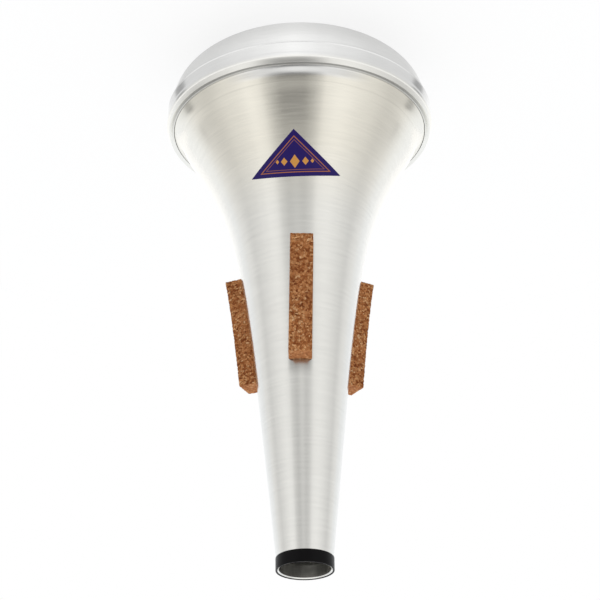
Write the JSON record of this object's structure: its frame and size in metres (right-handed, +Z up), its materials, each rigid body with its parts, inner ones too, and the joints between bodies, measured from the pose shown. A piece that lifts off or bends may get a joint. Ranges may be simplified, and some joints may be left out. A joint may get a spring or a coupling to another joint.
{
  "type": "bass trombone straight mute",
  "caption": "Flared spun-aluminium straight mute with a crimped domed end cap, cork strips along the body, a black ring on the open small end and a three-cornered label.",
  "frame": {"origin": "centre of the flat land under the end cap, on which the mute stands", "axes": "+Z up the mute's axis from the cap to the open small end; the label and the front cork strip face -Y"},
  "size_m": [0.14, 0.14, 0.2832],
  "materials": {
    "body_aluminium": "spun satin, fine rings round the axis, clear lacquer with a faint warm tint",
    "cap_aluminium": "spun satin, a little brighter than the body",
    "black_ring": "smooth semi-gloss black",
    "cork": "raw agglomerated cork, fine and coarse grain",
    "label_print": "printed film, dark violet blue with plain orange lines"
  },
  "bodies": {
    "root": {"body_shell": "body_aluminium", "end_cap": "cap_aluminium", "tip_ring": "black_ring", "cork_front": "cork", "cork_right": "cork", "cork_left": "cork", "label": "label_print"}
  },
  "joints": []
}
